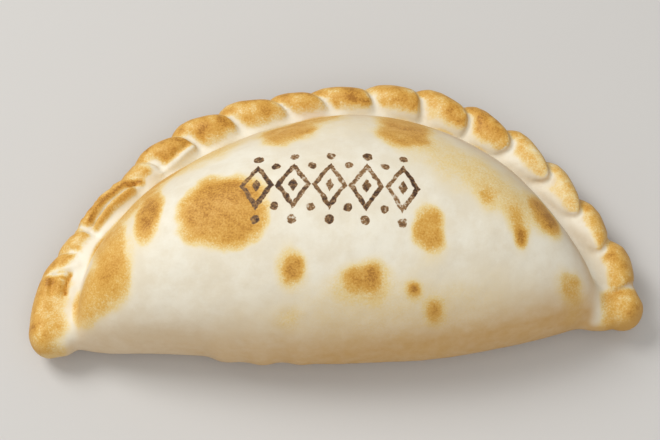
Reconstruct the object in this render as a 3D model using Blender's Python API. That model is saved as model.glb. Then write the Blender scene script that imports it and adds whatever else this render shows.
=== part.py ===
"""A baked empanada: a half-moon turnover, plump with filling, closed by a rim of rope folds.

The pastry lies flat, as it came off the baking tray. +X runs from its left tip to its right tip,
+Y from the plump front fold to the crimped rim, and +Z is up. It is one piece of dough, so it is
one solid: the filled body and the folded rim are modelled apart and joined by a Boolean union.
"""

import math

import bmesh
import bpy
from mathutils import Vector

MM = 0.001

# The folded rim's middle line, in plan: an arc that is a little straighter than an ellipse.
RIM_HALF_LENGTH = 59.3
RIM_DEPTH = 48.2
RIM_FRONT_Y = -18.0
RIM_ROUNDNESS = 1.79  # 2 is an ellipse
RIM_LEAN = 4.6  # how far the arc's top leans to the right
RIM_STEPS = 1200
RIM_CHORD = 3.0  # length over which the line's direction is taken

# The rope of dough along that line, seen in section.
ROPE_OUTER = 4.3  # half width, away from the body
ROPE_INNER = 4.4  # half width, towards the body
ROPE_ABOVE = 4.9
ROPE_BELOW = 4.4
ROPE_MIDDLE_Z = 6.8
TIP_MIDDLE_Z = 5.9
LEDGE = 3.6  # the smooth ledge that runs between the folds and the body, beyond the inner half width
LEFT_LEDGE, LEFT_LEDGE_AT, LEFT_LEDGE_LENGTH = 2.2, 8.0, 8.0  # it is broader still near the left tip
ROPE_SIDES = 22
SWELL, SWELL_LENGTH = 0.5, 8.0  # how much broader the rope is at both tips
# The rim is pulled narrow on the left, between its tip and its back, and a little on the right.
LEFT_WAIST, LEFT_WAIST_AT, LEFT_WAIST_LENGTH = 2.7, 25.0, 18.0
RIGHT_WAIST, RIGHT_WAIST_AT, RIGHT_WAIST_LENGTH = 1.5, 153.0, 13.0

# The folds, from the left tip round the back to the right tip. Each one lies over the next.
FIRST_FOLD_AT = 6.5
FOLD_LENGTHS = (6.0, 6.5, 11.0, 10.0, 10.5, 12.0, 10.5, 10.0, 9.0, 10.5, 10.0, 11.5, 10.5, 11.5, 10.5, 9.0)
FOLD_SLANT = 5.4  # how far a fold's edge runs along the rim on its way from the outside in
LEFT_SLANT_RUN, RIGHT_SLANT_RUN = 20.0, 14.0  # how far from each tip's end the slant takes to build up
FOLD_BOW = 1.2  # how far the middle of a fold's edge bulges over the next fold
FOLD_RISE = 1.9  # from the hollow where a fold starts to its crest
FOLD_EDGE = 0.35  # length of the steep edge where one fold ends and the next starts
FOLD_SHAPE = ((0.0, 0.0), (0.13, 0.20), (0.30, 0.66), (0.48, 0.95), (0.66, 1.0), (0.84, 0.88), (1.0, 0.52))
FOLD_MEAN = 0.6  # the height in FOLD_SHAPE at which the rope has the half widths above
FOLD_LEAST, FOLD_INNER = 0.25, 0.4  # share of the relief left on the underside, and on the ledge

# The rounded tip that closes the rim at each end.
LEFT_TIP_AT, LEFT_TIP_HEIGHT = 2.2, 0.9  # the left tip's crest, before the first fold
RIGHT_TIP_HEIGHT = 0.1  # the hollow after the last fold
TIP_RUN = 3.5
TIP_DOME = 5.0
TIP_RINGS = 5

# The filled body, from one tip to the other.
BODY_HALF_LENGTH = 53.5
BODY_DOME = 2.0
BODY_END = 0.025  # share of the half turn left out at each end, where the sections would cross
BACK_INSET = 5.2  # from the rim's middle line to the body's back line, which is hidden in the rope
LEFT_INSET, LEFT_INSET_AT, LEFT_INSET_LENGTH = 2.0, 2.0, 12.0  # it lies deeper by this at the left tip
FRONT_Y = -24.6
FRONT_BULGE = 7.0
FRONT_PEAK_X = 10.0  # where the front fold reaches furthest forward
FRONT_LEFT, FRONT_RIGHT = 65.0, 42.5  # from that place to where the bulge has faded out
BODY_TOP_Z = 34.5
BODY_END_Z = 9.4
BODY_ARCH = 0.9  # how the top falls away to the ends: 1 follows a half circle
FRONT_Z = 9.0  # height of the front fold's outermost line, halfway along the body
BACK_Z = 5.5  # height of the body's back line there
END_Z = 5.5  # height of both lines at the ends
UNDERSIDE_END_Z = 3.8  # the underside curls up to this at the ends
FLAT_REACH = 0.85  # the underside is level wherever the body is deeper than this share of its depth
BODY_RINGS = 44
BODY_SIDES = 40
FRONT_ROUNDNESS = 2.05
BACK_ROUNDNESS = 1.6
UNDERSIDE_ROUNDNESS = 3.0
UNDERSIDE_PRESS = 1.09  # the underside would bulge below the tray by this share, so it is pressed flat

CRUST_COLOUR = (0.72, 0.56, 0.32, 1.0)
CRUST_ROUGHNESS = 0.6
SMOOTH_ANGLE = math.radians(50)


def signed_power(value, power):
    return math.copysign(abs(value) ** power, value)


def rim_plan(angle):
    """A point of the rim's arc: angle pi is the left end, and 0 the right one."""
    reach = max(math.sin(angle), 0.0)
    x = RIM_HALF_LENGTH * signed_power(math.cos(angle), 2 / RIM_ROUNDNESS) + RIM_LEAN * reach**4
    return Vector((x, RIM_FRONT_Y + RIM_DEPTH * reach ** (2 / RIM_ROUNDNESS), 0.0))


class RimLine:
    """The rim's middle line, measured by the length along it from the left end."""

    def __init__(self):
        angles = [math.pi * (1 - i / RIM_STEPS) for i in range(RIM_STEPS + 1)]
        self.points = [rim_plan(angle) for angle in angles]
        self.lengths = [0.0]
        for before, after in zip(self.points, self.points[1:]):
            self.lengths.append(self.lengths[-1] + (after - before).length)
        self.length = self.lengths[-1]

    def index_at(self, along):
        low, high = 0, len(self.lengths) - 2
        while low < high:
            middle = (low + high + 1) // 2
            if self.lengths[middle] <= along:
                low = middle
            else:
                high = middle - 1
        return low

    def point(self, along):
        """The point at this length. Past either end, the line runs straight on to the front."""
        if along < 0 or along > self.length:
            end = self.points[0] if along < 0 else self.points[-1]
            beyond = -along if along < 0 else along - self.length
            return Vector((end.x, end.y - beyond, self.height(along)))
        i = self.index_at(along)
        share = (along - self.lengths[i]) / (self.lengths[i + 1] - self.lengths[i])
        place = self.points[i].lerp(self.points[i + 1], share)
        return Vector((place.x, place.y, self.height(along)))

    def height(self, along):
        share = min(max(along / self.length, 0.0), 1.0)
        return TIP_MIDDLE_Z + (ROPE_MIDDLE_Z - TIP_MIDDLE_Z) * math.sin(math.pi * share)

    def outward(self, along):
        """The level direction square to the line, away from the body."""
        run = self.point(along + RIM_CHORD / 2) - self.point(along - RIM_CHORD / 2)
        return Vector((-run.y, run.x, 0.0)).normalized()


def bump(distance, length):
    """1 at no distance, and fading to nothing past this length."""
    return math.exp(-((distance / length) ** 2))


def waist(along):
    """How far the rim's outer edge is pulled in here. The body behind it moves out by the same."""
    left = LEFT_WAIST * bump(along - LEFT_WAIST_AT, LEFT_WAIST_LENGTH)
    return left + RIGHT_WAIST * bump(along - RIGHT_WAIST_AT, RIGHT_WAIST_LENGTH)


def fold_strength(turn):
    """The folds stand out on the outside and the top, and fade into the ledge and the underside."""
    shown = max(math.sin(turn), math.cos(turn), 0.0)
    inner = max(-math.cos(turn), 0.0)
    return (FOLD_LEAST + (1 - FOLD_LEAST) * shown) * (1 - (1 - FOLD_INNER) * inner)


def rope_ring(rim, along, height):
    """One ring of the rope. Its top runs on a slant, so that the folds lie over like a twist."""
    to_left, to_right = along + TIP_RUN, rim.length + TIP_RUN - along
    slant = FOLD_SLANT * min(1.0, to_left / LEFT_SLANT_RUN, to_right / RIGHT_SLANT_RUN)
    swell = SWELL * (bump(along, SWELL_LENGTH) + bump(rim.length - along, SWELL_LENGTH))
    outer = ROPE_OUTER + swell - waist(along)
    inner = ROPE_INNER + swell + LEDGE + LEFT_LEDGE * bump(along - LEFT_LEDGE_AT, LEFT_LEDGE_LENGTH)
    ring = []
    for i in range(ROPE_SIDES):
        turn = 2 * math.pi * i / ROPE_SIDES
        inward = (1 - math.cos(turn)) / 2
        bow = FOLD_BOW * max(math.sin(turn), 0.0) ** 2
        place = along + slant * (inward - 0.5) + bow
        centre, outward = rim.point(place), rim.outward(place)
        half_width = outer if math.cos(turn) > 0 else inner
        half_height = ROPE_ABOVE if math.sin(turn) > 0 else ROPE_BELOW
        relief = FOLD_RISE * (height - FOLD_MEAN) * fold_strength(turn)
        across = (half_width + relief) * math.cos(turn)
        up = (half_height + relief) * math.sin(turn)
        ring.append(centre + outward * across + Vector((0, 0, up)))
    return ring


def rope_rings(rim):
    """The rings of the whole rope, from the left tip to the right one."""
    rings = [rope_ring(rim, -TIP_RUN, FOLD_MEAN), rope_ring(rim, LEFT_TIP_AT, LEFT_TIP_HEIGHT)]
    start = FIRST_FOLD_AT
    rings.append(rope_ring(rim, start - FOLD_EDGE / 2, FOLD_SHAPE[-1][1]))
    for length in FOLD_LENGTHS:
        for share, height in FOLD_SHAPE:
            rings.append(rope_ring(rim, start + FOLD_EDGE / 2 + (length - FOLD_EDGE) * share, height))
        start += length
    rings.append(rope_ring(rim, start + FOLD_EDGE / 2, RIGHT_TIP_HEIGHT))
    rings.append(rope_ring(rim, rim.length + TIP_RUN, FOLD_MEAN))
    return domed(rings, TIP_DOME)


def domed(rings, reach):
    """The rings with a rounded end added before the first one and after the last one."""
    def dome(end, before):
        middle, last = sum(end, Vector()) / len(end), sum(before, Vector()) / len(before)
        square = sum(((p - middle).cross(q - middle) for p, q in zip(end, end[1:])), Vector())
        outward = square.normalized() * math.copysign(reach, square.dot(middle - last))
        slopes = [0.5 * math.pi * i / TIP_RINGS for i in range(1, TIP_RINGS)]
        return [[middle + outward * math.sin(a) + (p - middle) * math.cos(a) for p in end] for a in slopes]

    return dome(rings[0], rings[1])[::-1] + rings + dome(rings[-1], rings[-2])


def front_line(x):
    """How far forward the front fold reaches at this x."""
    away = (x - FRONT_PEAK_X) / (FRONT_RIGHT if x > FRONT_PEAK_X else FRONT_LEFT)
    return FRONT_Y - FRONT_BULGE * max(1 - away * away, 0.0)


def body_ring(rim, angle):
    """One upright section of the body, from the rim at the back to the front fold."""
    reach = math.sin(angle)
    along = rim.lengths[round(RIM_STEPS * (1 - angle / math.pi))]
    inset = BACK_INSET - waist(along) + LEFT_INSET * bump(along - LEFT_INSET_AT, LEFT_INSET_LENGTH)
    back = rim.point(along) - rim.outward(along) * inset
    back.z = 0.0
    front_x = BODY_HALF_LENGTH * math.cos(angle)
    front = Vector((front_x, front_line(front_x), 0.0))
    middle, half = (back + front) / 2, (back - front) / 2
    top = BODY_END_Z + (BODY_TOP_Z - BODY_END_Z) * reach**BODY_ARCH
    underside = UNDERSIDE_END_Z * max(0.0, 1 - reach / FLAT_REACH) ** 2
    ring = []
    for i in range(BODY_SIDES):
        turn = 2 * math.pi * i / BODY_SIDES
        at_back, over = math.cos(turn) > 0, math.sin(turn) > 0
        widest = END_Z + ((BACK_Z if at_back else FRONT_Z) - END_Z) * reach
        roundness = UNDERSIDE_ROUNDNESS if not over else BACK_ROUNDNESS if at_back else FRONT_ROUNDNESS
        place = middle + half * signed_power(math.cos(turn), 2 / roundness)
        lift = abs(math.sin(turn)) ** (2 / roundness)
        if over:
            place.z = widest + (top - widest) * lift
        else:
            place.z = widest - (widest - underside) * min(UNDERSIDE_PRESS * lift, 1.0)
        ring.append(place)
    return ring


def body_rings(rim):
    first, last = math.pi * (1 - BODY_END), math.pi * BODY_END
    step = (last - first) / (BODY_RINGS - 1)
    rings = [body_ring(rim, first + step * i) for i in range(BODY_RINGS)]
    return domed(rings, BODY_DOME)


def skin(name, rings):
    """A closed mesh over these rings, with a face over each end."""
    mesh = bpy.data.meshes.new(name)
    bm = bmesh.new()
    loops = []
    for ring in rings:
        verts = [bm.verts.new(point * MM) for point in ring]
        loops.append([bm.edges.new((verts[i - 1], verts[i])) for i in range(len(verts))])
    for before, after in zip(loops, loops[1:]):
        bmesh.ops.bridge_loops(bm, edges=before + after)
    bmesh.ops.holes_fill(bm, edges=loops[0] + loops[-1])
    bmesh.ops.recalc_face_normals(bm, faces=bm.faces)
    bm.to_mesh(mesh)
    bm.free()
    made = bpy.data.objects.new(name, mesh)
    bpy.context.scene.collection.objects.link(made)
    return made


def joined(name, first, second):
    """Both shapes as one closed mesh, which takes their place."""
    union = first.modifiers.new("join", "BOOLEAN")
    union.operation = "UNION"
    union.solver = "EXACT"
    union.object = second
    graph = bpy.context.evaluated_depsgraph_get()
    mesh = bpy.data.meshes.new_from_object(first.evaluated_get(graph))
    for used in (first, second):
        bpy.data.objects.remove(used)
    mesh.name = name
    made = bpy.data.objects.new(name, mesh)
    bpy.context.scene.collection.objects.link(made)
    return made


def stand_at_origin(obj):
    """Puts the middle of the shape's box over the origin, and its underside on the floor."""
    corners = [vert.co for vert in obj.data.vertices]
    low = Vector(min(c[i] for c in corners) for i in range(3))
    high = Vector(max(c[i] for c in corners) for i in range(3))
    shift = Vector((-(low.x + high.x) / 2, -(low.y + high.y) / 2, -low.z))
    for vert in obj.data.vertices:
        vert.co += shift


def baked_dough():
    material = bpy.data.materials.new("baked_dough")
    material.use_nodes = True
    surface = material.node_tree.nodes["Principled BSDF"]
    surface.inputs["Base Color"].default_value = CRUST_COLOUR
    surface.inputs["Roughness"].default_value = CRUST_ROUGHNESS
    surface.inputs["Metallic"].default_value = 0.0
    return material


def main():
    for leftover in list(bpy.data.objects):
        bpy.data.objects.remove(leftover)
    rim = RimLine()
    body = skin("body", body_rings(rim))
    rope = skin("rope", rope_rings(rim))
    pastry = joined("pastry", body, rope)
    stand_at_origin(pastry)
    pastry.data.materials.append(baked_dough())
    pastry.data.shade_smooth()
    pastry.data.set_sharp_from_angle(angle=SMOOTH_ANGLE)


main()
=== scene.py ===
"""The looks of the baked empanada: its crust as a fine mesh, with toasted spots and a burnt-in mark.

The CAD solid gives the place and the size. The same named sizes are repeated here, in millimetres,
to make the same body and the same rope of folds with many more faces. Both are fused by a voxel
remesh into one skin, which stands for the CAD node.
"""

import math

import bpy
import numpy as np
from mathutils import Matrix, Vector, kdtree, noise


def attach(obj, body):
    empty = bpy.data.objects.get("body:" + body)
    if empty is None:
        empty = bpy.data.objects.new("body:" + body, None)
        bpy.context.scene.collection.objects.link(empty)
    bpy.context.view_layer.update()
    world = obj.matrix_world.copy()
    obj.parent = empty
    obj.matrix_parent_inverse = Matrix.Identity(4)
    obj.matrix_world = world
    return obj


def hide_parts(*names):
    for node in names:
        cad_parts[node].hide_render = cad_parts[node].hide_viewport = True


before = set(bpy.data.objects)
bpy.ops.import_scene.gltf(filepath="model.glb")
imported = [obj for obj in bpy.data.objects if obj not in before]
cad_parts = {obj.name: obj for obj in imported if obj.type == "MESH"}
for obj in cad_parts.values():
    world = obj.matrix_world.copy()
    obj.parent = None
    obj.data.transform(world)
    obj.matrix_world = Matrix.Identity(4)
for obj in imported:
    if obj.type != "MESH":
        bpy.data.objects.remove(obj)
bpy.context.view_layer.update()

MM = 0.001

# The folded rim's middle line, in plan: an arc that is a little straighter than an ellipse.
RIM_HALF_LENGTH = 59.3
RIM_DEPTH = 48.2
RIM_FRONT_Y = -18.0
RIM_ROUNDNESS = 1.79
RIM_LEAN = 4.6
RIM_STEPS = 1200
RIM_CHORD = 3.0

# The rope of folds along that line, seen in section.
ROPE_HALF = 3.9  # from its outside to its middle
ROPE_INSIDE = 4.8  # how far it goes inwards of the rim's middle line
ROPE_ABOVE, ROPE_BELOW = 4.9, 4.4
ROPE_ROUNDNESS = 2.3  # of the inner side of its top
ROPE_MIDDLE_Z, TIP_MIDDLE_Z = 6.8, 5.9
# The smooth ledge that the folds lie on, seen in section. It runs on under the body.
LEDGE_MIDDLE, LEDGE_OUTER, LEDGE_INNER = -3.4, 3.6, 5.0
LEDGE_ABOVE, LEDGE_BELOW = 3.2, 4.0
LEDGE_ROUNDNESS = 2.4
LEFT_LEDGE, LEFT_LEDGE_AT, LEFT_LEDGE_LENGTH = 2.2, 8.0, 8.0
LEFT_RISE, LEFT_RISE_AT, LEFT_RISE_LENGTH = 2.3, 9.0, 19.0
LEFT_TIP_CUT, LEFT_TIP_CUT_FROM = 3.4, (5.0, 0.0)
RIGHT_DROP = 0.7
RIGHT_LEDGE, RIGHT_LEDGE_LENGTH = 4.0, 7.0
LEFT_WAIST, LEFT_WAIST_AT, LEFT_WAIST_LENGTH = -0.6, 25.0, 10.0
RIGHT_WAIST, RIGHT_WAIST_AT, RIGHT_WAIST_LENGTH = -2.3, 148.0, 19.0

# The folds, from the left tip round the back to the right tip. Each one lies over the next.
# For each one: its length, how far its crest stands up, the slant of the edge where it starts, how much
# that edge curls (0 is straight), and how far the fold reaches outwards of the rim's middle line, at its
# start and at its broadest.
FIRST_FOLD_AT = 7.5
FOLDS = (
    (6.0, 1.1, 0.5, 1.0, 3.9, 3.5),
    (6.0, 1.3, 1.5, 1.0, 2.4, 2.6),
    (16.0, 1.2, 2.0, 1.0, 1.9, 2.4),
    (5.0, 1.0, 3.0, 1.0, 2.0, 2.8),
    (9.4, 1.9, 4.0, 0.6, 3.2, 4.8),
    (10.4, 2.0, 4.1, 0.1, 4.0, 5.9),
    (11.4, 2.0, 3.6, 0.0, 3.8, 5.7),
    (9.0, 1.9, 4.2, 0.0, 2.9, 4.1),
    (11.1, 1.7, 4.2, 0.0, 2.8, 3.7),
    (10.8, 1.9, 3.2, 0.0, 2.7, 4.4),
    (10.8, 2.1, 3.4, 0.1, 4.1, 5.4),
    (10.6, 2.1, 4.4, 0.3, 3.8, 5.3),
    (11.1, 2.0, 5.2, 0.8, 3.4, 4.9),
    (10.8, 2.0, 5.8, 1.0, 2.4, 4.0),
    (10.2, 1.9, 5.4, 1.0, 1.5, 3.3),
    (10.3, 1.9, 3.8, 1.0, 1.5, 4.1),
)
TIP_REACH = 4.7
LAST_REACH = 3.1
LAST_SLANT, LAST_CURL = 3.0, 0.0
# A fold's edge seen from above, from the inside (-1) over the top (0) to the outside (1), as shares of
# its slant. A curled edge bulges over the next fold, and turns back where it meets the ledge.
EDGE_ACROSS = (-1.0, -0.75, -0.5, -0.25, 0.0, 0.5, 1.0)
EDGE_STRAIGHT = (0.45, 0.42, 0.34, 0.22, 0.08, -0.25, -0.7)
EDGE_CURLED = (-0.6, -0.08, 0.22, 0.27, 0.18, -0.2, -0.7)
FOLD_EDGE = 0.35
# A fold's height along it, from its start to its end, on top and on the outside.
FOLD_SHAPE = ((0.0, 0.0), (0.08, 0.08), (0.18, 0.45), (0.33, 0.83), (0.56, 1.0), (0.82, 0.95), (1.0, 0.72))
REACH_SHAPE = ((0.0, 0.0), (0.08, 0.12), (0.18, 0.55), (0.33, 0.95), (0.56, 0.96), (0.82, 0.6), (1.0, 0.3))
FOLD_MEAN = 0.6
FOLD_LEAST, FOLD_INNER = 0.25, 0.8
RIGHT_TIP_RELIEF = -1.0
TIP_RUN, TIP_DOME = 3.5, 5.0

# The filled body, from one tip to the other.
BODY_HALF_LENGTH = 53.5
BODY_DOME, BODY_END = 2.0, 0.025
BACK_INSET = 4.4
LEFT_INSET, LEFT_INSET_AT, LEFT_INSET_LENGTH = 2.0, 2.0, 12.0
FRONT_Y, FRONT_BULGE, FRONT_PEAK_X = -24.6, 7.0, 10.0
FRONT_LEFT, FRONT_RIGHT = 65.0, 42.5
# The front fold is tucked in on the left, up to a step, and waves a little beyond it.
TUCK, TUCK_FROM, TUCK_FULL, TUCK_STEP, TUCK_TO = 1.3, -50.0, -33.0, -27.5, -24.5
WAVE, WAVE_LENGTH, WAVE_FROM, WAVE_TO = 0.35, 8.0, -22.0, -6.0
TUCK_FADE = (0.55, -0.15)  # where both fade out, as heights in the body's section
BODY_TOP_Z, BODY_END_Z, BODY_ARCH = 34.5, 9.4, 0.9
FRONT_Z, BACK_Z, END_Z = 9.0, 5.5, 5.5
UNDERSIDE_END_Z, FLAT_REACH = 3.8, 0.85
FRONT_ROUNDNESS, BACK_ROUNDNESS, UNDERSIDE_ROUNDNESS = 2.05, 1.6, 3.0
UNDERSIDE_PRESS = 1.09

PLAN_MIDDLE = np.array([-0.157, 1.827, 0.0])  # of the CAD's box, on the same plan

# How finely both shapes are drawn, and the size of the faces of the fused skin.
ROPE_STEP, ROPE_SIDES = 0.3, 72
BODY_RINGS, BODY_SIDES = 260, 160
DOME_RINGS = 12
VOXEL = 0.45
BASE_Z, BASE_SHARE = 1.5, 0.8  # below this height the skin is made coarser, down to this share of faces

# Rounds of smoothing: over the whole skin, along the inner foot of the folds, and at the tips, where the
# body runs out into the rope.
SKIN_ROUNDS = 2
FOOT_ROUNDS, FOOT_AT, FOOT_WIDTH = 30, -3.6, 1.3
CRISP, CRISP_FROM = 0.8, (85, 105)  # how much less it is smoothed on the right
TIP_ROUNDS, LEFT_BLEND, RIGHT_BLEND = 110, 9.0, 12.0

# Ridges and grooves in the rough folds at the left end: how far each stands up, its half width, and its
# path as places along the rim and outwards from its middle line.
RIDGES = (
    (-1.1, 0.6, ((8.8, -2.9), (6.4, -2.6), (4.0, -2.9))),
    (-0.6, 0.6, ((7.2, 0.4), (4.0, 0.2))),
    (0.5, 0.7, ((7.6, -1.2), (3.6, -1.4))),
    (0.45, 0.9, ((7.5, 1.7), (9.5, -1.0), (11.3, -3.6))),
    (-0.35, 0.6, ((14.0, 0.4), (14.6, -2.0))),
    (-0.6, 0.8, ((20.6, 1.2), (20.6, -1.0), (20.3, -3.5))),
    (-1.6, 0.65, ((21.8, -1.1), (24.0, -0.8), (29.0, -0.5), (33.5, -1.0), (35.3, -1.9))),
    (0.4, 1.0, ((20.5, 0.9), (28.0, 1.2), (35.0, 0.6))),
    (0.6, 0.7, ((21.2, -2.5), (27.0, -2.3), (33.5, -2.7))),
    (0.5, 0.7, ((41.2, -3.2), (46.0, -3.0), (50.6, -2.1))),
    (-0.5, 0.5, ((46.0, -1.8), (49.6, -1.2))),
)
# Soft unevenness everywhere: how far it goes, and its length.
SWELLS = ((0.16, 9.0), (0.05, 2.6))
# The same on the outside of the roughest fold, with its place along the rim and its reach.
ROUGH, ROUGH_LENGTH, ROUGH_AT, ROUGH_REACH = 0.5, 1.5, 27.0, 8.0
# The crease between the body and the ledge: how deep, its half width, and how far off it still shows.
CREASE_DEPTH, CREASE_WIDTH, CREASE_REACH = 0.25, 0.5, 1.6
CREASE_FROM_X, CREASE_TO_X = (-53.0, -48.5), (51.0, 48.0)  # it fades out at both ends
DARK_CREASE, DARK_CREASE_AT, DARK_CREASE_LENGTH = 0.6, 18.0, 6.0  # where its colour is darkest, partly toasting and partly painted shade
CREASE_NEAR, CREASE_OVER_Z = (-12.0, -1.5), 7.0  # where it is looked for: outwards of the rim, and height

# Toasted spots on the body: place, half widths, turn in degrees, and how dark.
SPOTS = (
    (-22.0, -9.2, 8.3, 7.8, 0, 0.76),
    (-20.8, -4.4, 5.4, 2.6, 0, 0.38),
    (-37.0, -6.8, 2.6, 6.4, -8, 0.84),
    (-45.6, -12.0, 3.6, 7.2, 8, 0.55),
    (-49.4, -20.4, 5.2, 4.2, 0, 0.50),
    (-43.6, -18.2, 2.6, 4.2, 0, 0.40),
    (-34.6, 6.0, 4.6, 2.3, 40, 0.56),
    (-40.0, -0.6, 6.5, 2.6, 52, 0.46),
    (-25.5, 9.0, 8.0, 3.6, 28, 0.30),
    (-8.4, 11.6, 5.2, 4.6, 20, 0.64),
    (-2.4, 19.0, 5.4, 4.8, 0, 0.46),
    (2.0, 14.0, 22.0, 7.0, -3, 0.14),
    (15.4, 8.4, 5.2, 5.0, 0, 0.60),
    (17.0, 15.0, 5.8, 4.8, -20, 0.56),
    (26.0, 0.5, 11.0, 7.0, -24, 0.24),
    (36.0, -8.5, 7.5, 5.0, -38, 0.22),
    (12.0, -28.5, 34.0, 6.0, 2, 0.17),
    (30.7, -8.7, 1.6, 1.8, 0, 0.42),
    (18.6, -15.8, 2.9, 4.2, 0, 0.66),
    (4.6, -24.1, 3.8, 2.0, 4, 0.64),
    (7.0, -24.0, 1.6, 2.2, 0, 0.55),
    (15.1, -26.1, 1.0, 0.9, 0, 0.90),
    (19.3, -29.1, 1.3, 1.1, 0, 0.76),
    (-8.6, -21.9, 2.0, 2.0, 0, 0.80),
    (-9.6, -20.0, 2.4, 3.0, 0, 0.18),
    (-10.2, -29.0, 1.8, 1.2, 0, 0.12),
    (37.2, -16.2, 1.4, 2.1, 0, 0.84),
    (36.8, -12.4, 1.5, 2.6, 0, 0.40),
    (42.9, -9.4, 2.5, 4.3, 14, 0.78),
    (44.0, -11.0, 1.2, 2.4, 14, 0.80),
    (47.8, -23.5, 2.3, 2.4, 0, 0.40),
    (48.4, -27.5, 1.2, 1.0, 0, 0.1),
)
SPOT_EDGE, SPOT_EDGE_SHARE = 1.4, 0.42  # a spot's soft edge, to which this share of its size is added
VAGUE_SPOT, VAGUE_EDGE_SHARE = 0.37, 1.5  # spots fainter than this have this share instead
SPOT_SQUARENESS = 2.3
HALO, HALO_REACH = 0.13, 2.6  # how dark the faint ring round a spot is, and how far it reaches at most
SPOT_WARP, SPOT_WARP_SHARE = 2.2, 0.34  # how far its outline strays, and at most this share of its size
SPOT_WARP_LENGTH, SPOT_FINE_LENGTH, SPOT_FINE = 6.0, 2.2, 0.35

# How strongly each fold is toasted, and how far in over its top the toasting goes (0 is the top's
# middle, -1 the inside).
FOLD_TOAST = (
    (0.62, -0.3), (0.60, -0.4), (0.74, 0.0), (0.66, -0.3),
    (0.66, -0.6), (0.70, -0.65), (0.62, -0.65), (0.66, -0.6),
    (0.68, -0.65), (0.62, -0.6), (0.64, -0.65), (0.68, -0.65),
    (0.50, -0.5), (0.38, -0.6), (0.60, -0.25), (0.60, -0.5),
)
FOLD_TOAST_EDGE = (-0.3, 0.35)  # how softly it ends there
# How the toasting runs along a fold, on the inside of its top and on its outside.
TOAST_ALONG = (
    (0.0, 0.55, 0.6), (0.03, 0.15, 0.6), (0.06, 0.03, 0.7), (0.11, 0.3, 0.95),
    (0.2, 0.85, 1.0), (0.85, 1.0, 1.0), (1.0, 0.85, 0.9),
)
# The tips are toasted from their inside, where it begins, to their outside, where it is full.
LEFT_TIP_TOAST, LEFT_TIP_FROM = 0.68, (-6.5, 1.5)
RIGHT_TIP_TOAST, RIGHT_TIP_FROM = 0.64, (-8.5, 0.5)
LEFT_TIP_END = (-15.0, -3.0)  # the left tip is paler past the rim's end
TOAST_INSIDE, ROPE_NEAR = -9.5, (1.6, 0.8)  # no toasting of the folds inwards of this, or this far off
FOLD_BLOTCH, BLOTCH_LENGTH, FINE_BLOTCH_LENGTH = 0.6, 3.2, 1.4  # how uneven the toasting of the folds is
# Toasted and scorched lines in the rough folds at the left end, like the ridges above.
SCORCHES = (
    (0.9, 0.45, ((8.8, -2.9), (6.4, -2.6), (4.0, -2.9))),
    (0.8, 0.45, ((7.2, 0.4), (4.0, 0.2))),
    (0.75, 0.4, ((7.9, -2.6), (7.4, -0.2))),
    (1.0, 0.8, ((22.5, -0.2), (28.0, 0.3), (34.0, -0.2))),
    (0.95, 0.9, ((34.0, -0.8), (36.4, -2.2))),
    (0.72, 0.9, ((21.2, -2.6), (27.0, -2.4), (33.5, -2.7))),
    (0.7, 0.4, ((47.5, -1.6), (50.0, -1.3))),
)
PALE_LINES = (
    (0.9, 0.45, ((24.0, -1.3), (29.0, -1.0), (33.0, -1.5))),
    (0.9, 0.8, ((20.6, 1.0), (20.6, -1.0), (20.3, -3.5))),
    (0.7, 0.5, ((7.9, 1.7), (9.5, -1.0), (11.3, -3.6))),
    (0.9, 0.8, ((41.2, -3.2), (46.0, -3.0), (50.6, -2.1))),
    (0.7, 0.8, ((39.1, 0.7), (41.9, -2.9))),
    (0.7, 1.1, ((154.0, -6.6), (163.0, -6.2), (172.0, -5.8))),
)

# Colours, as they look on a screen (red, green, blue).
DOUGH = (239, 232, 213)
DOUGH_DARKER = (230, 219, 195)
# The tanning of the sides, partly baked browning and partly painted shade where they turn away from the
# light: between which heights it grows, and its shares at the left and the right.
TAN_AND_SHADE_FROM_Z, TAN_AND_SHADE_FULL_Z = 35.0, 6.0
TAN_AND_SHADE_LEFT, TAN_AND_SHADE_RIGHT, TAN_AND_SHADE_CHANGES = 0.52, 1.1, (-55.0, 25.0)
TAN_AND_SHADE_MOST = 0.9
TAN_AND_SHADE = (196, 150, 78)
PALE_AND_LIT_DOUGH = (250, 244, 226)
LEDGE_SEEN_AT, LEDGE_SEEN_WIDTH = -4.4, 2.4  # where the ledge shows, which stays pale: partly its own unbrowned dough, partly painted light that lifts the folds' shade on it
LEDGE_SEEN_FROM, LEDGE_PALE_TO = (5, 15), (110, 70)
TOAST_COLOURS = (
    (0.0, DOUGH), (0.25, (235, 210, 150)), (0.5, (223, 176, 88)),
    (0.75, (208, 152, 60)), (1.0, (168, 112, 32)),
)
CREASE_SHADE_AND_TOAST = 0.34  # how dark the crease is painted: partly toasting, partly painted shade in the crease
BURN_PALE, BURN_DARK = (146, 108, 64), (62, 40, 26)

# The burnt-in mark: five lozenges in a row, with dots between them. Sizes in millimetres.
MARK_X, MARK_Y, MARK_TURN = -0.5, -6.2, math.radians(-4.8)
LOZENGE_PITCH, LOZENGE_HALF_WIDTH, LOZENGE_HALF_HEIGHT = 7.3, 3.0, 4.5
LOZENGES = 5
STROKE = 0.17  # half width of the outline, as a share of the lozenge
CORE_HALF_WIDTH, CORE_HALF_HEIGHT = 0.95, 1.5
DOTS = ((1.0, 4.7, 0.85), (0.0, 7.2, 0.95))  # 1 between two lozenges, 0 over one; height; radius
MARK_LOWEST_Z = 20.0

# The lights: place, size in metres and power in watts. The world's strength, and the floor.
KEY_PLACE, KEY_SIZE, KEY_POWER = (-0.52, 0.34, 0.72), 0.45, 5.5
FILL_PLACE, FILL_SIZE, FILL_POWER = (0.05, -0.55, 0.65), 0.6, 1.8
WORLD_STRENGTH = 0.44
FLOOR_REACH, FLOOR_COLOUR, FLOOR_ROUGHNESS = 3.0, (0.62, 0.60, 0.57, 1), 0.8

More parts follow.
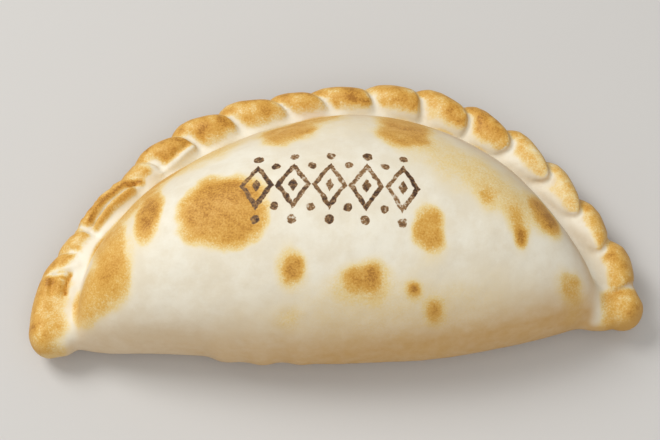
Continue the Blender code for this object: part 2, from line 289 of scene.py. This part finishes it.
# Camera, at the photograph's angle.
LENS, SENSOR = 100.0, 36.0
VIEW_ELEVATION, VIEW_AZIMUTH = math.radians(63), math.radians(-3)
VIEW_DISTANCE = 387.5
VIEW_TARGET = Vector((-0.25, -1.95, 10.0))


def signed_power(value, power):
    return np.sign(value) * np.abs(value) ** power


def smooth_step(value, low, high):
    """0 at low, 1 at high, and smooth in between. Low may be the greater of the two."""
    share = np.clip((value - low) / (high - low), 0, 1)
    return share * share * (3 - 2 * share)


def bump(distance, length):
    """1 at no distance, and fading to nothing past this length."""
    return np.exp(-((distance / length) ** 2))


class RimLine:
    """The rim's middle line, measured by the length along it from the left end."""

    def __init__(self):
        turn = np.linspace(math.pi, 0, RIM_STEPS + 1)
        reach = np.maximum(np.sin(turn), 0)
        x = RIM_HALF_LENGTH * signed_power(np.cos(turn), 2 / RIM_ROUNDNESS) + RIM_LEAN * reach**4
        y = RIM_FRONT_Y + RIM_DEPTH * reach ** (2 / RIM_ROUNDNESS)
        self.points = np.stack([x, y], axis=1)
        steps = np.linalg.norm(np.diff(self.points, axis=0), axis=1)
        self.lengths = np.concatenate([[0], np.cumsum(steps)])
        self.length = self.lengths[-1]

    def point(self, along):
        """Points in plan. Past either end, the line runs straight on to the front."""
        x = np.interp(along, self.lengths, self.points[:, 0])
        y = np.interp(along, self.lengths, self.points[:, 1])
        beyond = np.maximum(-along, 0) + np.maximum(along - self.length, 0)
        return np.stack([x, y - beyond], axis=-1)

    def outward(self, along):
        run = self.point(along + RIM_CHORD / 2) - self.point(along - RIM_CHORD / 2)
        run /= np.linalg.norm(run, axis=-1, keepdims=True)
        return np.stack([-run[..., 1], run[..., 0]], axis=-1)

    def height(self, along):
        share = np.clip(along / self.length, 0, 1)
        return TIP_MIDDLE_Z + (ROPE_MIDDLE_Z - TIP_MIDDLE_Z) * np.sin(math.pi * share)

    def waist(self, along):
        left = LEFT_WAIST * bump(along - LEFT_WAIST_AT, LEFT_WAIST_LENGTH)
        return left + RIGHT_WAIST * bump(along - RIGHT_WAIST_AT, RIGHT_WAIST_LENGTH)


FOLD_STARTS = FIRST_FOLD_AT + np.concatenate([[0], np.cumsum([length for length, *_ in FOLDS])])


def fold_profile(rim):
    """Places along the rim, with how far the folds stand up and reach outwards at each."""
    places, reliefs = [-TIP_RUN, FIRST_FOLD_AT - FOLD_EDGE / 2], [0, 0]
    reaches = [TIP_REACH, FOLDS[0][4]]
    for i, (length, rise, _, _, start_reach, crest_reach) in enumerate(FOLDS):
        end_reach = FOLDS[i + 1][4] if i + 1 < len(FOLDS) else LAST_REACH
        middle_reach = (start_reach + end_reach) / 2
        for (share, height), (_, outside) in zip(FOLD_SHAPE, REACH_SHAPE):
            places.append(FOLD_STARTS[i] + FOLD_EDGE / 2 + (length - FOLD_EDGE) * share)
            reliefs.append(rise * (height - FOLD_MEAN))
            trough = start_reach + (end_reach - start_reach) * share
            reaches.append(trough + (crest_reach - middle_reach) * outside)
    places += [FOLD_STARTS[-1] + FOLD_EDGE / 2, rim.length + TIP_RUN]
    return places, reliefs + [RIGHT_TIP_RELIEF, 0], reaches + [LAST_REACH, TIP_REACH]


def rope_surface(rim, along, turn):
    """Points of the rope. Its rings run on a slant, so that the folds lie over like a twist."""
    cos, sin = np.cos(turn), np.sin(turn)
    stops = [-TIP_RUN, *FOLD_STARTS, rim.length + TIP_RUN]
    slant = np.interp(along, stops, [0, *(fold[2] for fold in FOLDS), LAST_SLANT, 0])
    curl = np.interp(along, stops, [0, *(fold[3] for fold in FOLDS), LAST_CURL, 0])
    straight, curled = (np.interp(cos, EDGE_ACROSS, edge) for edge in (EDGE_STRAIGHT, EDGE_CURLED))
    place = along + slant * (straight + curl * (curled - straight))
    places, reliefs, reaches = fold_profile(rim)
    reach = np.interp(along, places, reaches)
    middle = np.interp(along, places, smoothed(reaches)) - ROPE_HALF
    outer, inner = reach - middle, middle + ROPE_INSIDE
    shown = np.maximum(np.maximum(sin, cos), 0)
    strength = (FOLD_LEAST + (1 - FOLD_LEAST) * shown) * (1 - (1 - FOLD_INNER) * np.maximum(-cos, 0))
    relief = np.interp(along, places, reliefs) * strength
    across = middle + np.where(cos > 0, outer, inner + relief) * cos
    roundness = np.where((sin > 0) & (cos < 0), ROPE_ROUNDNESS, 2)
    up = (np.where(sin > 0, ROPE_ABOVE, ROPE_BELOW) + relief) * signed_power(sin, 2 / roundness)
    plan = rim.point(place) + rim.outward(place) * across[..., None]
    return np.dstack([plan, rim.height(place) + up])


def smoothed(values, width=7):
    """A running mean, which keeps the first and the last value."""
    padded = np.concatenate([[values[0]] * (width // 2), values, [values[-1]] * (width // 2)])
    return np.convolve(padded, np.ones(width) / width, "valid")


def ledge_surface(rim, along, turn):
    """Points of the ledge."""
    cos, sin = np.cos(turn), np.sin(turn)
    inner = LEDGE_INNER + LEFT_LEDGE * bump(along - LEFT_LEDGE_AT, LEFT_LEDGE_LENGTH)
    inner = inner + RIGHT_LEDGE * bump(along - rim.length, RIGHT_LEDGE_LENGTH)
    inner = inner - LEFT_TIP_CUT * smooth_step(along, *LEFT_TIP_CUT_FROM)
    across = LEDGE_MIDDLE + np.where(cos > 0, LEDGE_OUTER, inner) * signed_power(cos, 2 / LEDGE_ROUNDNESS)
    above = LEDGE_ABOVE + LEFT_RISE * bump(along - LEFT_RISE_AT, LEFT_RISE_LENGTH)
    above = above - RIGHT_DROP * smooth_step(along, *CRISP_FROM)
    up = np.where(sin > 0, above, LEDGE_BELOW) * signed_power(sin, 2 / LEDGE_ROUNDNESS)
    plan = rim.point(along) + rim.outward(along) * across[..., None]
    return np.dstack([plan, rim.height(along) + up])


def front_line(x):
    away = (x - FRONT_PEAK_X) / np.where(x > FRONT_PEAK_X, FRONT_RIGHT, FRONT_LEFT)
    return FRONT_Y - FRONT_BULGE * np.maximum(1 - away * away, 0)


def front_tuck(x):
    tuck = TUCK * smooth_step(x, TUCK_FROM, TUCK_FULL) * smooth_step(x, TUCK_TO, TUCK_STEP)
    wave = WAVE * np.sin(2 * math.pi * (x - WAVE_FROM) / WAVE_LENGTH)
    return tuck + np.where((x > WAVE_FROM) & (x < WAVE_TO), wave, 0)


def body_surface(rim, angle, turn):
    """Points of the body, in upright sections from the rim at the back to the front fold."""
    cos, sin = np.cos(turn), np.sin(turn)
    reach = np.sin(angle)
    along = np.interp(1 - angle / math.pi, np.linspace(0, 1, RIM_STEPS + 1), rim.lengths)
    inset = BACK_INSET - rim.waist(along) + LEFT_INSET * bump(along - LEFT_INSET_AT, LEFT_INSET_LENGTH)
    back = rim.point(along) - rim.outward(along) * inset[..., None]
    front_x = BODY_HALF_LENGTH * np.cos(angle)
    front = np.stack([front_x, front_line(front_x)], axis=-1)
    top = BODY_END_Z + (BODY_TOP_Z - BODY_END_Z) * reach**BODY_ARCH
    underside = UNDERSIDE_END_Z * np.maximum(0, 1 - reach / FLAT_REACH) ** 2
    widest = END_Z + (np.where(cos > 0, BACK_Z, FRONT_Z) - END_Z) * reach
    above = np.where(cos > 0, BACK_ROUNDNESS, FRONT_ROUNDNESS)
    roundness = np.where(sin > 0, above, UNDERSIDE_ROUNDNESS)
    plan = (back + front) / 2 + (back - front) / 2 * signed_power(cos, 2 / roundness)[..., None]
    plan[..., 1] += front_tuck(front_x) * smooth_step(sin, *TUCK_FADE) * (cos < 0)
    lift = np.abs(sin) ** (2 / roundness)
    pressed = widest - (widest - underside) * np.minimum(UNDERSIDE_PRESS * lift, 1)
    return np.dstack([plan, np.where(sin > 0, widest + (top - widest) * lift, pressed)])


def domed(rings, reach):
    """The rings with a rounded end added before the first one and after the last one."""
    def dome(end, before):
        middle = end.mean(axis=0)
        square = np.cross(end - middle, np.roll(end, -1, axis=0) - middle).sum(axis=0)
        square /= np.linalg.norm(square)
        outward = square * math.copysign(reach, square @ (middle - before.mean(axis=0)))
        slopes = 0.5 * math.pi * np.arange(1, DOME_RINGS) / DOME_RINGS
        return np.array([middle + outward * math.sin(a) + (end - middle) * math.cos(a) for a in slopes])

    return np.concatenate([dome(rings[0], rings[1])[::-1], rings, dome(rings[-1], rings[-2])])


def skin_faces(rings, sides, first):
    """Quads over a grid of rings, and a face over each end, counted from this first vertex."""
    index = first + np.arange(rings * sides).reshape(rings, sides)
    after = np.roll(index, -1, axis=1)
    quads = np.stack([index[:-1], index[1:], after[1:], after[:-1]], axis=-1).reshape(-1, 4)
    return quads.tolist() + [index[0].tolist(), index[-1, ::-1].tolist()]


def fused_skin(name, grids):
    """One mesh object over the union of these grids of rings."""
    verts, faces = [], []
    for grid in grids:
        faces += skin_faces(grid.shape[0], grid.shape[1], len(verts))
        verts += (grid.reshape(-1, 3) * MM).tolist()
    mesh = bpy.data.meshes.new(name)
    mesh.from_pydata(verts, [], faces)
    made = bpy.data.objects.new(name, mesh)
    bpy.context.scene.collection.objects.link(made)
    remesh = made.modifiers.new("fuse", "REMESH")
    remesh.mode = "VOXEL"
    remesh.voxel_size = VOXEL * MM
    bake_modifiers(made)
    return made


def coarsen_base(obj):
    shared(obj, "base", (coordinates(obj)[:, 2] < BASE_Z).astype(float))
    fewer = obj.modifiers.new("fewer", "DECIMATE")
    fewer.ratio = BASE_SHARE
    fewer.vertex_group = "base"
    bake_modifiers(obj)
    obj.vertex_groups.clear()


def bake_modifiers(obj):
    graph = bpy.context.evaluated_depsgraph_get()
    mesh = bpy.data.meshes.new_from_object(obj.evaluated_get(graph))
    mesh.name = obj.name
    obj.modifiers.clear()
    obj.data = mesh


def crust_rings(rim):
    """The body's, the rope's and the ledge's rings, in the CAD's frame."""
    sides = np.linspace(0, 2 * math.pi, ROPE_SIDES, endpoint=False)
    along = np.arange(-TIP_RUN, rim.length + TIP_RUN, ROPE_STEP)
    along, turn = np.meshgrid(along, sides, indexing="ij")
    rope = domed(rope_surface(rim, along, turn), TIP_DOME)
    ledge = domed(ledge_surface(rim, along, turn), TIP_DOME)
    sides = np.linspace(0, 2 * math.pi, BODY_SIDES, endpoint=False)
    angles = np.linspace(math.pi * (1 - BODY_END), math.pi * BODY_END, BODY_RINGS)
    body = domed(body_surface(rim, *np.meshgrid(angles, sides, indexing="ij")), BODY_DOME)
    return [rings - PLAN_MIDDLE for rings in (body, rope, ledge)]


def coordinates(obj):
    flat = np.empty(len(obj.data.vertices) * 3)
    obj.data.vertices.foreach_get("co", flat)
    return flat.reshape(-1, 3) / MM


def directions(obj):
    """The direction straight out of the skin at each vertex."""
    flat = np.empty(len(obj.data.vertices) * 3)
    obj.data.vertex_normals.foreach_get("vector", flat)
    return flat.reshape(-1, 3)


def set_coordinates(obj, points):
    obj.data.vertices.foreach_set("co", (points * MM).ravel())
    obj.data.update()


def shared(obj, name, weights):
    """A vertex group with these weights."""
    group = obj.vertex_groups.new(name=name)
    steps = np.round(np.clip(weights, 0, 1) * 20).astype(int)
    for step in range(1, 21):
        group.add(np.flatnonzero(steps == step).tolist(), step / 20, "REPLACE")


def smooth(obj, rounds, weights=None):
    relax = obj.modifiers.new("relax", "SMOOTH")
    relax.iterations = rounds
    if weights is not None:
        shared(obj, "relax", weights)
        relax.vertex_group = "relax"
    bake_modifiers(obj)
    obj.vertex_groups.clear()


def nearest(points, samples):
    """For each point, the number of the nearest sample and how far away it is."""
    tree = kdtree.KDTree(len(samples))
    for i, sample in enumerate(samples.tolist()):
        tree.insert(sample, i)
    tree.balance()
    found = [tree.find(point)[1:] for point in points.tolist()]
    return np.array([i for i, _ in found]), np.array([away for _, away in found])


def rim_places(rim, points):
    """How far along the rim each point lies, and how far outwards of its middle line."""
    plan = points + PLAN_MIDDLE
    flat = np.pad(rim.points, ((0, 0), (0, 1)))
    i, _ = nearest(plan * (1, 1, 0), flat)
    along = rim.lengths[i]
    outward = rim.outward(along)
    away = plan[:, :2] - rim.points[i]
    along = along + away[:, 0] * outward[:, 1] - away[:, 1] * outward[:, 0]
    return along, (away * outward).sum(axis=1)


def path_distance(x, y, path):
    """How far points lie from a path of straight runs."""
    best = np.full(len(x), np.inf)
    for (x0, y0), (x1, y1) in zip(path, path[1:]):
        run = (x1 - x0) ** 2 + (y1 - y0) ** 2
        share = np.clip(((x - x0) * (x1 - x0) + (y - y0) * (y1 - y0)) / run, 0, 1)
        best = np.minimum(best, np.hypot(x - x0 - share * (x1 - x0), y - y0 - share * (y1 - y0)))
    return best


def unevenness(points, length, offset=0.0):
    """Smooth noise between about -1 and 1, with lumps about this long."""
    shift = Vector((offset, offset, offset))
    return np.array([noise.noise(Vector(p) / length + shift) for p in points.tolist()])


def sculpt(rim, pastry, rings):
    """Blends the tips, adds the ridges, grooves and soft unevenness, and returns the crease's share."""
    smooth(pastry, SKIN_ROUNDS)
    along, outside = rim_places(rim, coordinates(pastry))
    crisp = CRISP * smooth_step(along, *CRISP_FROM)
    smooth(pastry, FOOT_ROUNDS, bump(outside - FOOT_AT, FOOT_WIDTH) * (1 - crisp))
    left = bump(along, LEFT_BLEND) * smooth_step(outside, 1.0, -2.0)
    right = bump(along - rim.length, RIGHT_BLEND) * smooth_step(outside, -2.0, -5.0)
    smooth(pastry, TIP_ROUNDS, left + right)
    points = coordinates(pastry)
    along, outside = rim_places(rim, points)
    lift = sum(
        height * bump(path_distance(along, outside, path), width)
        for height, width, path in RIDGES
    )
    lift = lift * smooth_step(points[:, 2], 5, 8)
    for depth, length in SWELLS:
        lift = lift + depth * unevenness(points, length) * smooth_step(points[:, 2], 1, 5)
    rough = bump(along - ROUGH_AT, ROUGH_REACH) * smooth_step(outside, -1.5, 1.0)
    lift = lift + ROUGH * rough * unevenness(points, ROUGH_LENGTH)
    crease = crease_share(points, outside, rings)
    points = points + directions(pastry) * (lift - CREASE_DEPTH * crease)[:, None]
    set_coordinates(pastry, points - (0, 0, points[:, 2].min()))
    return crease


def crease_share(points, outside, rings):
    """1 where the body meets the ledge, fading out on both sides."""
    share = np.zeros(len(points))
    inner, outer = CREASE_NEAR
    near = np.flatnonzero((outside > inner) & (outside < outer) & (points[:, 2] > CREASE_OVER_Z))
    body, _, ledge = rings
    to_body, to_ledge = (nearest(points[near], grid.reshape(-1, 3))[1] for grid in (body, ledge))
    close = smooth_step(to_body, CREASE_REACH, CREASE_REACH / 2)
    share[near] = bump(to_body - to_ledge, CREASE_WIDTH) * close
    return share * smooth_step(points[:, 0], *CREASE_FROM_X) * smooth_step(points[:, 0], *CREASE_TO_X)


def spot_toast(points):
    """How toasted the body's spots are."""
    warp = []
    for offset in (3, 17):
        fine = SPOT_FINE * unevenness(points, SPOT_FINE_LENGTH, offset)
        warp.append(unevenness(points, SPOT_WARP_LENGTH, offset) + fine)
    toast = np.zeros(len(points))
    for spot_x, spot_y, half_x, half_y, turn, dark in SPOTS:
        size = min(half_x, half_y)
        x, y = (points[:, i] + min(SPOT_WARP, SPOT_WARP_SHARE * size) * warp[i] for i in (0, 1))
        cos, sin = math.cos(math.radians(turn)), math.sin(math.radians(turn))
        across = ((x - spot_x) * cos + (y - spot_y) * sin) / half_x
        along = ((y - spot_y) * cos - (x - spot_x) * sin) / half_y
        away = (np.abs(across) ** SPOT_SQUARENESS + np.abs(along) ** SPOT_SQUARENESS) ** (1 / SPOT_SQUARENESS)
        inside = (1 - away) * size
        edge = SPOT_EDGE + (VAGUE_EDGE_SHARE if dark < VAGUE_SPOT else SPOT_EDGE_SHARE) * size
        spot = dark * smooth_step(inside, -edge / 2, edge / 2)
        if dark > VAGUE_SPOT:
            spot = np.maximum(spot, HALO * smooth_step(inside, -min(HALO_REACH, 1.5 * size), 0))
        toast = toast + spot * (1 - toast)
    return toast


def fold_toast(rim, points, along, outside, rope):
    """How toasted the folds are: most on top and outside, least where each one starts."""
    toast = np.zeros(len(points))
    near = np.flatnonzero(outside > TOAST_INSIDE)
    i, away = nearest(points[near], rope.reshape(-1, 3))
    ring, side = np.divmod(i, rope.shape[1])
    ring = ring - DOME_RINGS + 1
    place = -TIP_RUN + ring * ROPE_STEP
    inward = np.cos(2 * math.pi * side / ROPE_SIDES)
    fold = np.clip(np.searchsorted(FOLD_STARTS, place) - 1, 0, len(FOLDS))
    ends = np.append(FOLD_STARTS[1:], rim.length + TIP_RUN + TIP_DOME)
    share = np.clip((place - FOLD_STARTS[fold]) / (ends[fold] - FOLD_STARTS[fold]), 0, 1)
    strength, limit = np.array([*FOLD_TOAST, (0, 0)])[fold].T
    shares, inner, outer = zip(*TOAST_ALONG)
    outer_share = smooth_step(inward, 0.0, 0.7)
    profile = (1 - outer_share) * np.interp(share, shares, inner)
    profile = profile + outer_share * np.interp(share, shares, outer)
    low, high = FOLD_TOAST_EDGE
    made = strength * profile * smooth_step(inward, limit + low, limit + high)
    made = made * smooth_step(away, *ROPE_NEAR) * (place > FOLD_STARTS[0])
    tip = LEFT_TIP_TOAST * smooth_step(outside[near], *LEFT_TIP_FROM)
    tip = tip * smooth_step(along[near], *LEFT_TIP_END)
    made = np.maximum(made, tip * smooth_step(along[near], FOLD_STARTS[0] + 1, FOLD_STARTS[0] - 1))
    tip = RIGHT_TIP_TOAST * smooth_step(outside[near], *RIGHT_TIP_FROM)
    made = np.maximum(made, tip * smooth_step(along[near], FOLD_STARTS[-1] - 0.5, FOLD_STARTS[-1] + 1.5))
    uneven = 1 + FOLD_BLOTCH * unevenness(points[near], BLOTCH_LENGTH)
    uneven = uneven + 0.5 * FOLD_BLOTCH * unevenness(points[near], FINE_BLOTCH_LENGTH)
    toast[near] = np.maximum(made * uneven, 0)
    for dark, width, path in SCORCHES:
        toast = np.maximum(toast, dark * bump(path_distance(along, outside, path), width))
    for pale, width, path in PALE_LINES:
        toast = toast * (1 - pale * bump(path_distance(along, outside, path), width))
    return toast


def keep(obj, name, values):
    """Stores one number at each vertex, for the material."""
    layer = obj.data.attributes.new(name, "FLOAT", "POINT")
    layer.data.foreach_set("value", np.asarray(values, dtype=np.float32))


def bake_looks(rim, pastry, rope, crease):
    """Works out how toasted and how tanned the crust is at each vertex; the tan and the crease are partly
    painted shade, the pale ledge partly painted light.
    """
    points = coordinates(pastry)
    along, outside = rim_places(rim, points)
    # The crease's colour is partly toasting, partly painted shade, and darkest near the left end.
    crease = crease * (1 + DARK_CREASE * bump(along - DARK_CREASE_AT, DARK_CREASE_LENGTH))
    on_body = smooth_step(outside, -4.0, -5.4)
    above = smooth_step(points[:, 2], 5, 9)
    spots = spot_toast(points) * on_body * above
    folds = fold_toast(rim, points, along, outside, rope) * smooth_step(points[:, 2], 1, 6)
    keep(pastry, "toast", np.maximum(spots, folds))
    keep(pastry, "crease", crease)
    # The ledge is painted paler: partly its own unbrowned dough, partly painted light lifting the folds'
    # shade, fading out to the right.
    ledge = bump(outside - LEDGE_SEEN_AT, LEDGE_SEEN_WIDTH) * above * smooth_step(along, *LEDGE_SEEN_FROM)
    keep(pastry, "pale", ledge * smooth_step(along, *LEDGE_PALE_TO))
    out_z = directions(pastry)[:, 2]
    # Partly painted shade: low sides that turn away from up are tanned, more on the right than on the left;
    # the underside is browned.
    low = smooth_step(points[:, 2], TAN_AND_SHADE_FROM_Z, TAN_AND_SHADE_FULL_Z) * smooth_step(out_z, 1.0, 0.2) * (1 - ledge)
    low = low * (TAN_AND_SHADE_LEFT + (TAN_AND_SHADE_RIGHT - TAN_AND_SHADE_LEFT) * smooth_step(points[:, 0], *TAN_AND_SHADE_CHANGES))
    keep(pastry, "tan_and_shade", np.clip(np.maximum(low, smooth_step(out_z, -0.3, -0.8)), 0, TAN_AND_SHADE_MOST))


def area_light(name, place, size, power):
    """A square light, which shines at the middle of the part."""
    light = bpy.data.lights.new(name, "AREA")
    light.size, light.energy = size, power
    made = bpy.data.objects.new(name, light)
    made.location = place
    made.rotation_euler = Vector(place).to_track_quat("Z", "Y").to_euler()
    bpy.context.scene.collection.objects.link(made)


def linear(colour):
    """A screen colour as the light it stands for, with full opacity."""
    shares = [value / 255 for value in colour]
    return (*(v / 12.92 if v <= 0.04045 else ((v + 0.055) / 1.055) ** 2.4 for v in shares), 1)


class Shader:
    """A material's nodes. A value handed in is a number, a vector, or another node's output."""

    def __init__(self, name):
        self.material = bpy.data.materials.new(name)
        self.material.use_nodes = True
        self.tree = self.material.node_tree
        self.surface = self.tree.nodes["Principled BSDF"]

    def add(self, kind, inputs=(), **settings):
        node = self.tree.nodes.new(kind)
        for name, value in settings.items():
            setattr(node, name, value)
        for name, value in dict(inputs).items():
            self.join(node.inputs[name], value)
        return node

    def join(self, socket, value):
        if isinstance(value, bpy.types.NodeSocket):
            self.tree.links.new(value, socket)
        else:
            socket.default_value = value

    def sum(self, operation, *values):
        return self.add("ShaderNodeMath", dict(enumerate(values)), operation=operation).outputs[0]

    def vector_sum(self, operation, *values):
        node = self.add("ShaderNodeVectorMath", dict(enumerate(values)), operation=operation)
        return node.outputs["Vector"]

    def stored(self, name):
        return self.add("ShaderNodeAttribute", attribute_name=name).outputs["Fac"]

    def noise(self, place, length, detail=2.0, roughness=0.5):
        """Noise between 0 and 1, with lumps about this many millimetres long."""
        inputs = {"Vector": place, "Scale": 1 / length, "Detail": detail, "Roughness": roughness}
        return self.add("ShaderNodeTexNoise", inputs)

    def ramped(self, value, from_low, from_high, to_low=0.0, to_high=1.0, smooth=True):
        inputs = {0: value, 1: from_low, 2: from_high, 3: to_low, 4: to_high}
        kind = "SMOOTHSTEP" if smooth else "LINEAR"
        return self.add("ShaderNodeMapRange", inputs, interpolation_type=kind).outputs[0]

    def mixed(self, share, first, second, blend="MIX"):
        node = self.add("ShaderNodeMix", data_type="RGBA", blend_type=blend)
        for name, value in (("Factor_Float", share), ("A_Color", first), ("B_Color", second)):
            socket = next(item for item in node.inputs if item.identifier == name)
            self.join(socket, value)
        return next(item for item in node.outputs if item.identifier == "Result_Color")

    def coloured(self, value, stops):
        node = self.add("ShaderNodeValToRGB", {0: value})
        points = node.color_ramp.elements
        for _ in stops[2:]:
            points.new(0.5)
        for point, (place, colour) in zip(points, stops):
            point.position = place
            point.color = linear(colour)
        return node.outputs[0]


def burnt_mark(shader, place):
    """How deeply the mark is burnt in, from 0 to 1."""
    mapping = shader.add("ShaderNodeMapping", {
        "Vector": place, "Location": (MARK_X, MARK_Y, 0), "Rotation": (0, 0, MARK_TURN),
    }, vector_type="TEXTURE").outputs[0]
    wobble = shader.vector_sum("SUBTRACT", shader.noise(mapping, 1.6).outputs["Color"], (0.5, 0.5, 0.5))
    warped = shader.vector_sum("MULTIPLY_ADD", wobble, (0.9, 0.9, 0.0), mapping)
    parts = shader.add("ShaderNodeSeparateXYZ", {0: warped})
    x, y, z = parts.outputs
    beside = shader.sum("PINGPONG", x, LOZENGE_PITCH / 2)
    height = shader.sum("ABSOLUTE", y)

    def lozenge(half_width, half_height):
        flat = shader.sum("DIVIDE", beside, half_width)
        return shader.sum("ADD", flat, shader.sum("DIVIDE", height, half_height))

    edge = shader.sum("SUBTRACT", lozenge(LOZENGE_HALF_WIDTH, LOZENGE_HALF_HEIGHT), 1.0)
    outline = shader.ramped(shader.sum("ABSOLUTE", edge), STROKE + 0.07, STROKE - 0.03)
    mark = shader.sum("MAXIMUM", outline, shader.ramped(lozenge(CORE_HALF_WIDTH, CORE_HALF_HEIGHT), 1.2, 0.8))
    for between, centre, radius in DOTS:
        across = shader.sum("SUBTRACT", beside, between * LOZENGE_PITCH / 2)
        up = shader.sum("SUBTRACT", height, centre)
        squares = shader.sum("ADD", shader.sum("POWER", across, 2.0), shader.sum("POWER", up, 2.0))
        dot = shader.ramped(shader.sum("SQRT", squares), radius + 0.2, radius - 0.2)
        run = shader.sum("LESS_THAN", shader.sum("ABSOLUTE", x), LOZENGE_PITCH * (LOZENGES - between) / 2)
        mark = shader.sum("MAXIMUM", mark, shader.sum("MULTIPLY", dot, run))
    reach = shader.sum("LESS_THAN", shader.sum("ABSOLUTE", x), LOZENGE_PITCH * LOZENGES / 2)
    above = shader.sum("GREATER_THAN", z, MARK_LOWEST_Z)
    worn = shader.ramped(shader.noise(place, 0.8, 4.0, 0.7).outputs["Fac"], 0.33, 0.66, 0.3, 1.0)
    faded = shader.ramped(shader.noise(place, 8.0, 1.0).outputs["Fac"], 0.35, 0.65, 0.6, 1.0)
    worn = shader.sum("MULTIPLY", worn, faded)
    return shader.sum("MULTIPLY", shader.sum("MULTIPLY", mark, worn), shader.sum("MULTIPLY", reach, above))


def crust_material():
    """Pale dough, toasted by the stored amounts, with grain, specks and the burnt mark; the tan and the
    crease are partly painted shade, the pale ledge partly painted light.
    """
    shader = Shader("crust")
    place = shader.add("ShaderNodeTexCoord").outputs["Object"]
    place = shader.vector_sum("SCALE", place)
    place.node.inputs["Scale"].default_value = 1 / MM
    grain = shader.noise(place, 0.38, 2.0, 0.6).outputs["Fac"]
    blotch = shader.noise(place, 2.4, 3.0, 0.6).outputs["Fac"]
    cloud = shader.noise(place, 9.0, 6.0, 0.68).outputs["Fac"]
    stored = shader.stored("toast")
    # The stored toasting, made patchy by noise, and speckled only where it is strong.
    patchy, speckled = shader.ramped(stored, 0.1, 0.6, 0.05, 0.6), shader.ramped(stored, 0.05, 0.5, 0.0, 0.85)
    toast = stored
    for lumps, strength in ((blotch, patchy), (grain, speckled)):
        change = shader.sum("MULTIPLY", shader.sum("SUBTRACT", lumps, 0.5), strength)
        toast = shader.sum("ADD", toast, change)
    # The crease is painted darker: partly toasting, partly painted shade.
    toast = shader.sum("MULTIPLY_ADD", shader.stored("crease"), CREASE_SHADE_AND_TOAST, toast)
    dough = shader.mixed(shader.ramped(cloud, 0.35, 0.65), linear(DOUGH), linear(DOUGH_DARKER))
    # The ledge is painted paler: partly its own unbrowned dough, partly painted light lifting the folds'
    # shade.
    dough = shader.mixed(shader.stored("pale"), dough, linear(PALE_AND_LIT_DOUGH))
    toasted = shader.coloured(toast, TOAST_COLOURS)
    colour = shader.mixed(shader.ramped(toast, 0.0, 0.25), dough, toasted)
    # The tan is partly baked browning, partly painted shade on the lower sides.
    tan_and_shade = shader.sum("MULTIPLY", shader.stored("tan_and_shade"), shader.ramped(blotch, 0.2, 0.8, 0.85, 1.0))
    colour = shader.mixed(tan_and_shade, colour, linear(TAN_AND_SHADE))
    mark = burnt_mark(shader, place)
    burn = shader.mixed(shader.ramped(mark, 0.3, 0.9), linear(BURN_PALE), linear(BURN_DARK))
    colour = shader.mixed(shader.ramped(mark, 0.08, 0.4), colour, burn)
    shader.join(shader.surface.inputs["Base Color"], colour)
    shader.join(shader.surface.inputs["Roughness"], shader.ramped(blotch, 0.2, 0.8, 0.5, 0.64))
    shader.surface.inputs["Specular IOR Level"].default_value = 0.35
    height = shader.sum("MULTIPLY_ADD", grain, shader.ramped(stored, 0.0, 0.6, 0.25, 0.6), blotch)
    height = shader.sum("MULTIPLY_ADD", mark, -1.2, height)
    bump_node = shader.add("ShaderNodeBump", {"Height": height, "Strength": 0.6, "Distance": 0.12 * MM})
    shader.join(shader.surface.inputs["Normal"], bump_node.outputs[0])
    return shader.material


def studio():
    floor_mesh = bpy.data.meshes.new("floor")
    corners = [(x * FLOOR_REACH, y * FLOOR_REACH, 0) for x, y in ((-1, -1), (1, -1), (1, 1), (-1, 1))]
    floor_mesh.from_pydata(corners, [], [(0, 1, 2, 3)])
    floor = bpy.data.objects.new("floor", floor_mesh)
    bpy.context.scene.collection.objects.link(floor)
    paint = bpy.data.materials.new("floor")
    paint.use_nodes = True
    surface = paint.node_tree.nodes["Principled BSDF"]
    surface.inputs["Base Color"].default_value = FLOOR_COLOUR
    surface.inputs["Roughness"].default_value = FLOOR_ROUGHNESS
    floor_mesh.materials.append(paint)
    area_light("key", KEY_PLACE, KEY_SIZE, KEY_POWER)
    area_light("fill", FILL_PLACE, FILL_SIZE, FILL_POWER)
    world = bpy.data.worlds.new("studio")
    bpy.context.scene.world = world
    world.use_nodes = True
    background = world.node_tree.nodes["Background"]
    background.inputs["Color"].default_value = (1, 1, 1, 1)
    background.inputs["Strength"].default_value = WORLD_STRENGTH
    bpy.context.scene.view_settings.view_transform = "Standard"


def camera():
    lens = bpy.data.cameras.new("camera")
    lens.lens, lens.sensor_width = LENS, SENSOR
    made = bpy.data.objects.new("camera", lens)
    level = math.cos(VIEW_ELEVATION)
    back = Vector((
        math.sin(VIEW_AZIMUTH) * level,
        -math.cos(VIEW_AZIMUTH) * level,
        math.sin(VIEW_ELEVATION),
    ))
    made.location = (VIEW_TARGET + back * VIEW_DISTANCE) * MM
    made.rotation_euler = back.to_track_quat("Z", "Y").to_euler()
    lens.clip_start, lens.clip_end = 0.01, 20
    bpy.context.scene.collection.objects.link(made)
    bpy.context.scene.camera = made


def main():
    rim = RimLine()
    rings = crust_rings(rim)
    pastry = fused_skin("empanada_crust", rings)
    coarsen_base(pastry)
    crease = sculpt(rim, pastry, rings)
    bake_looks(rim, pastry, rings[1], crease)
    pastry.data.shade_smooth()
    pastry.data.materials.append(crust_material())
    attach(pastry, "root")
    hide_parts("pastry")
    studio()
    camera()


main()
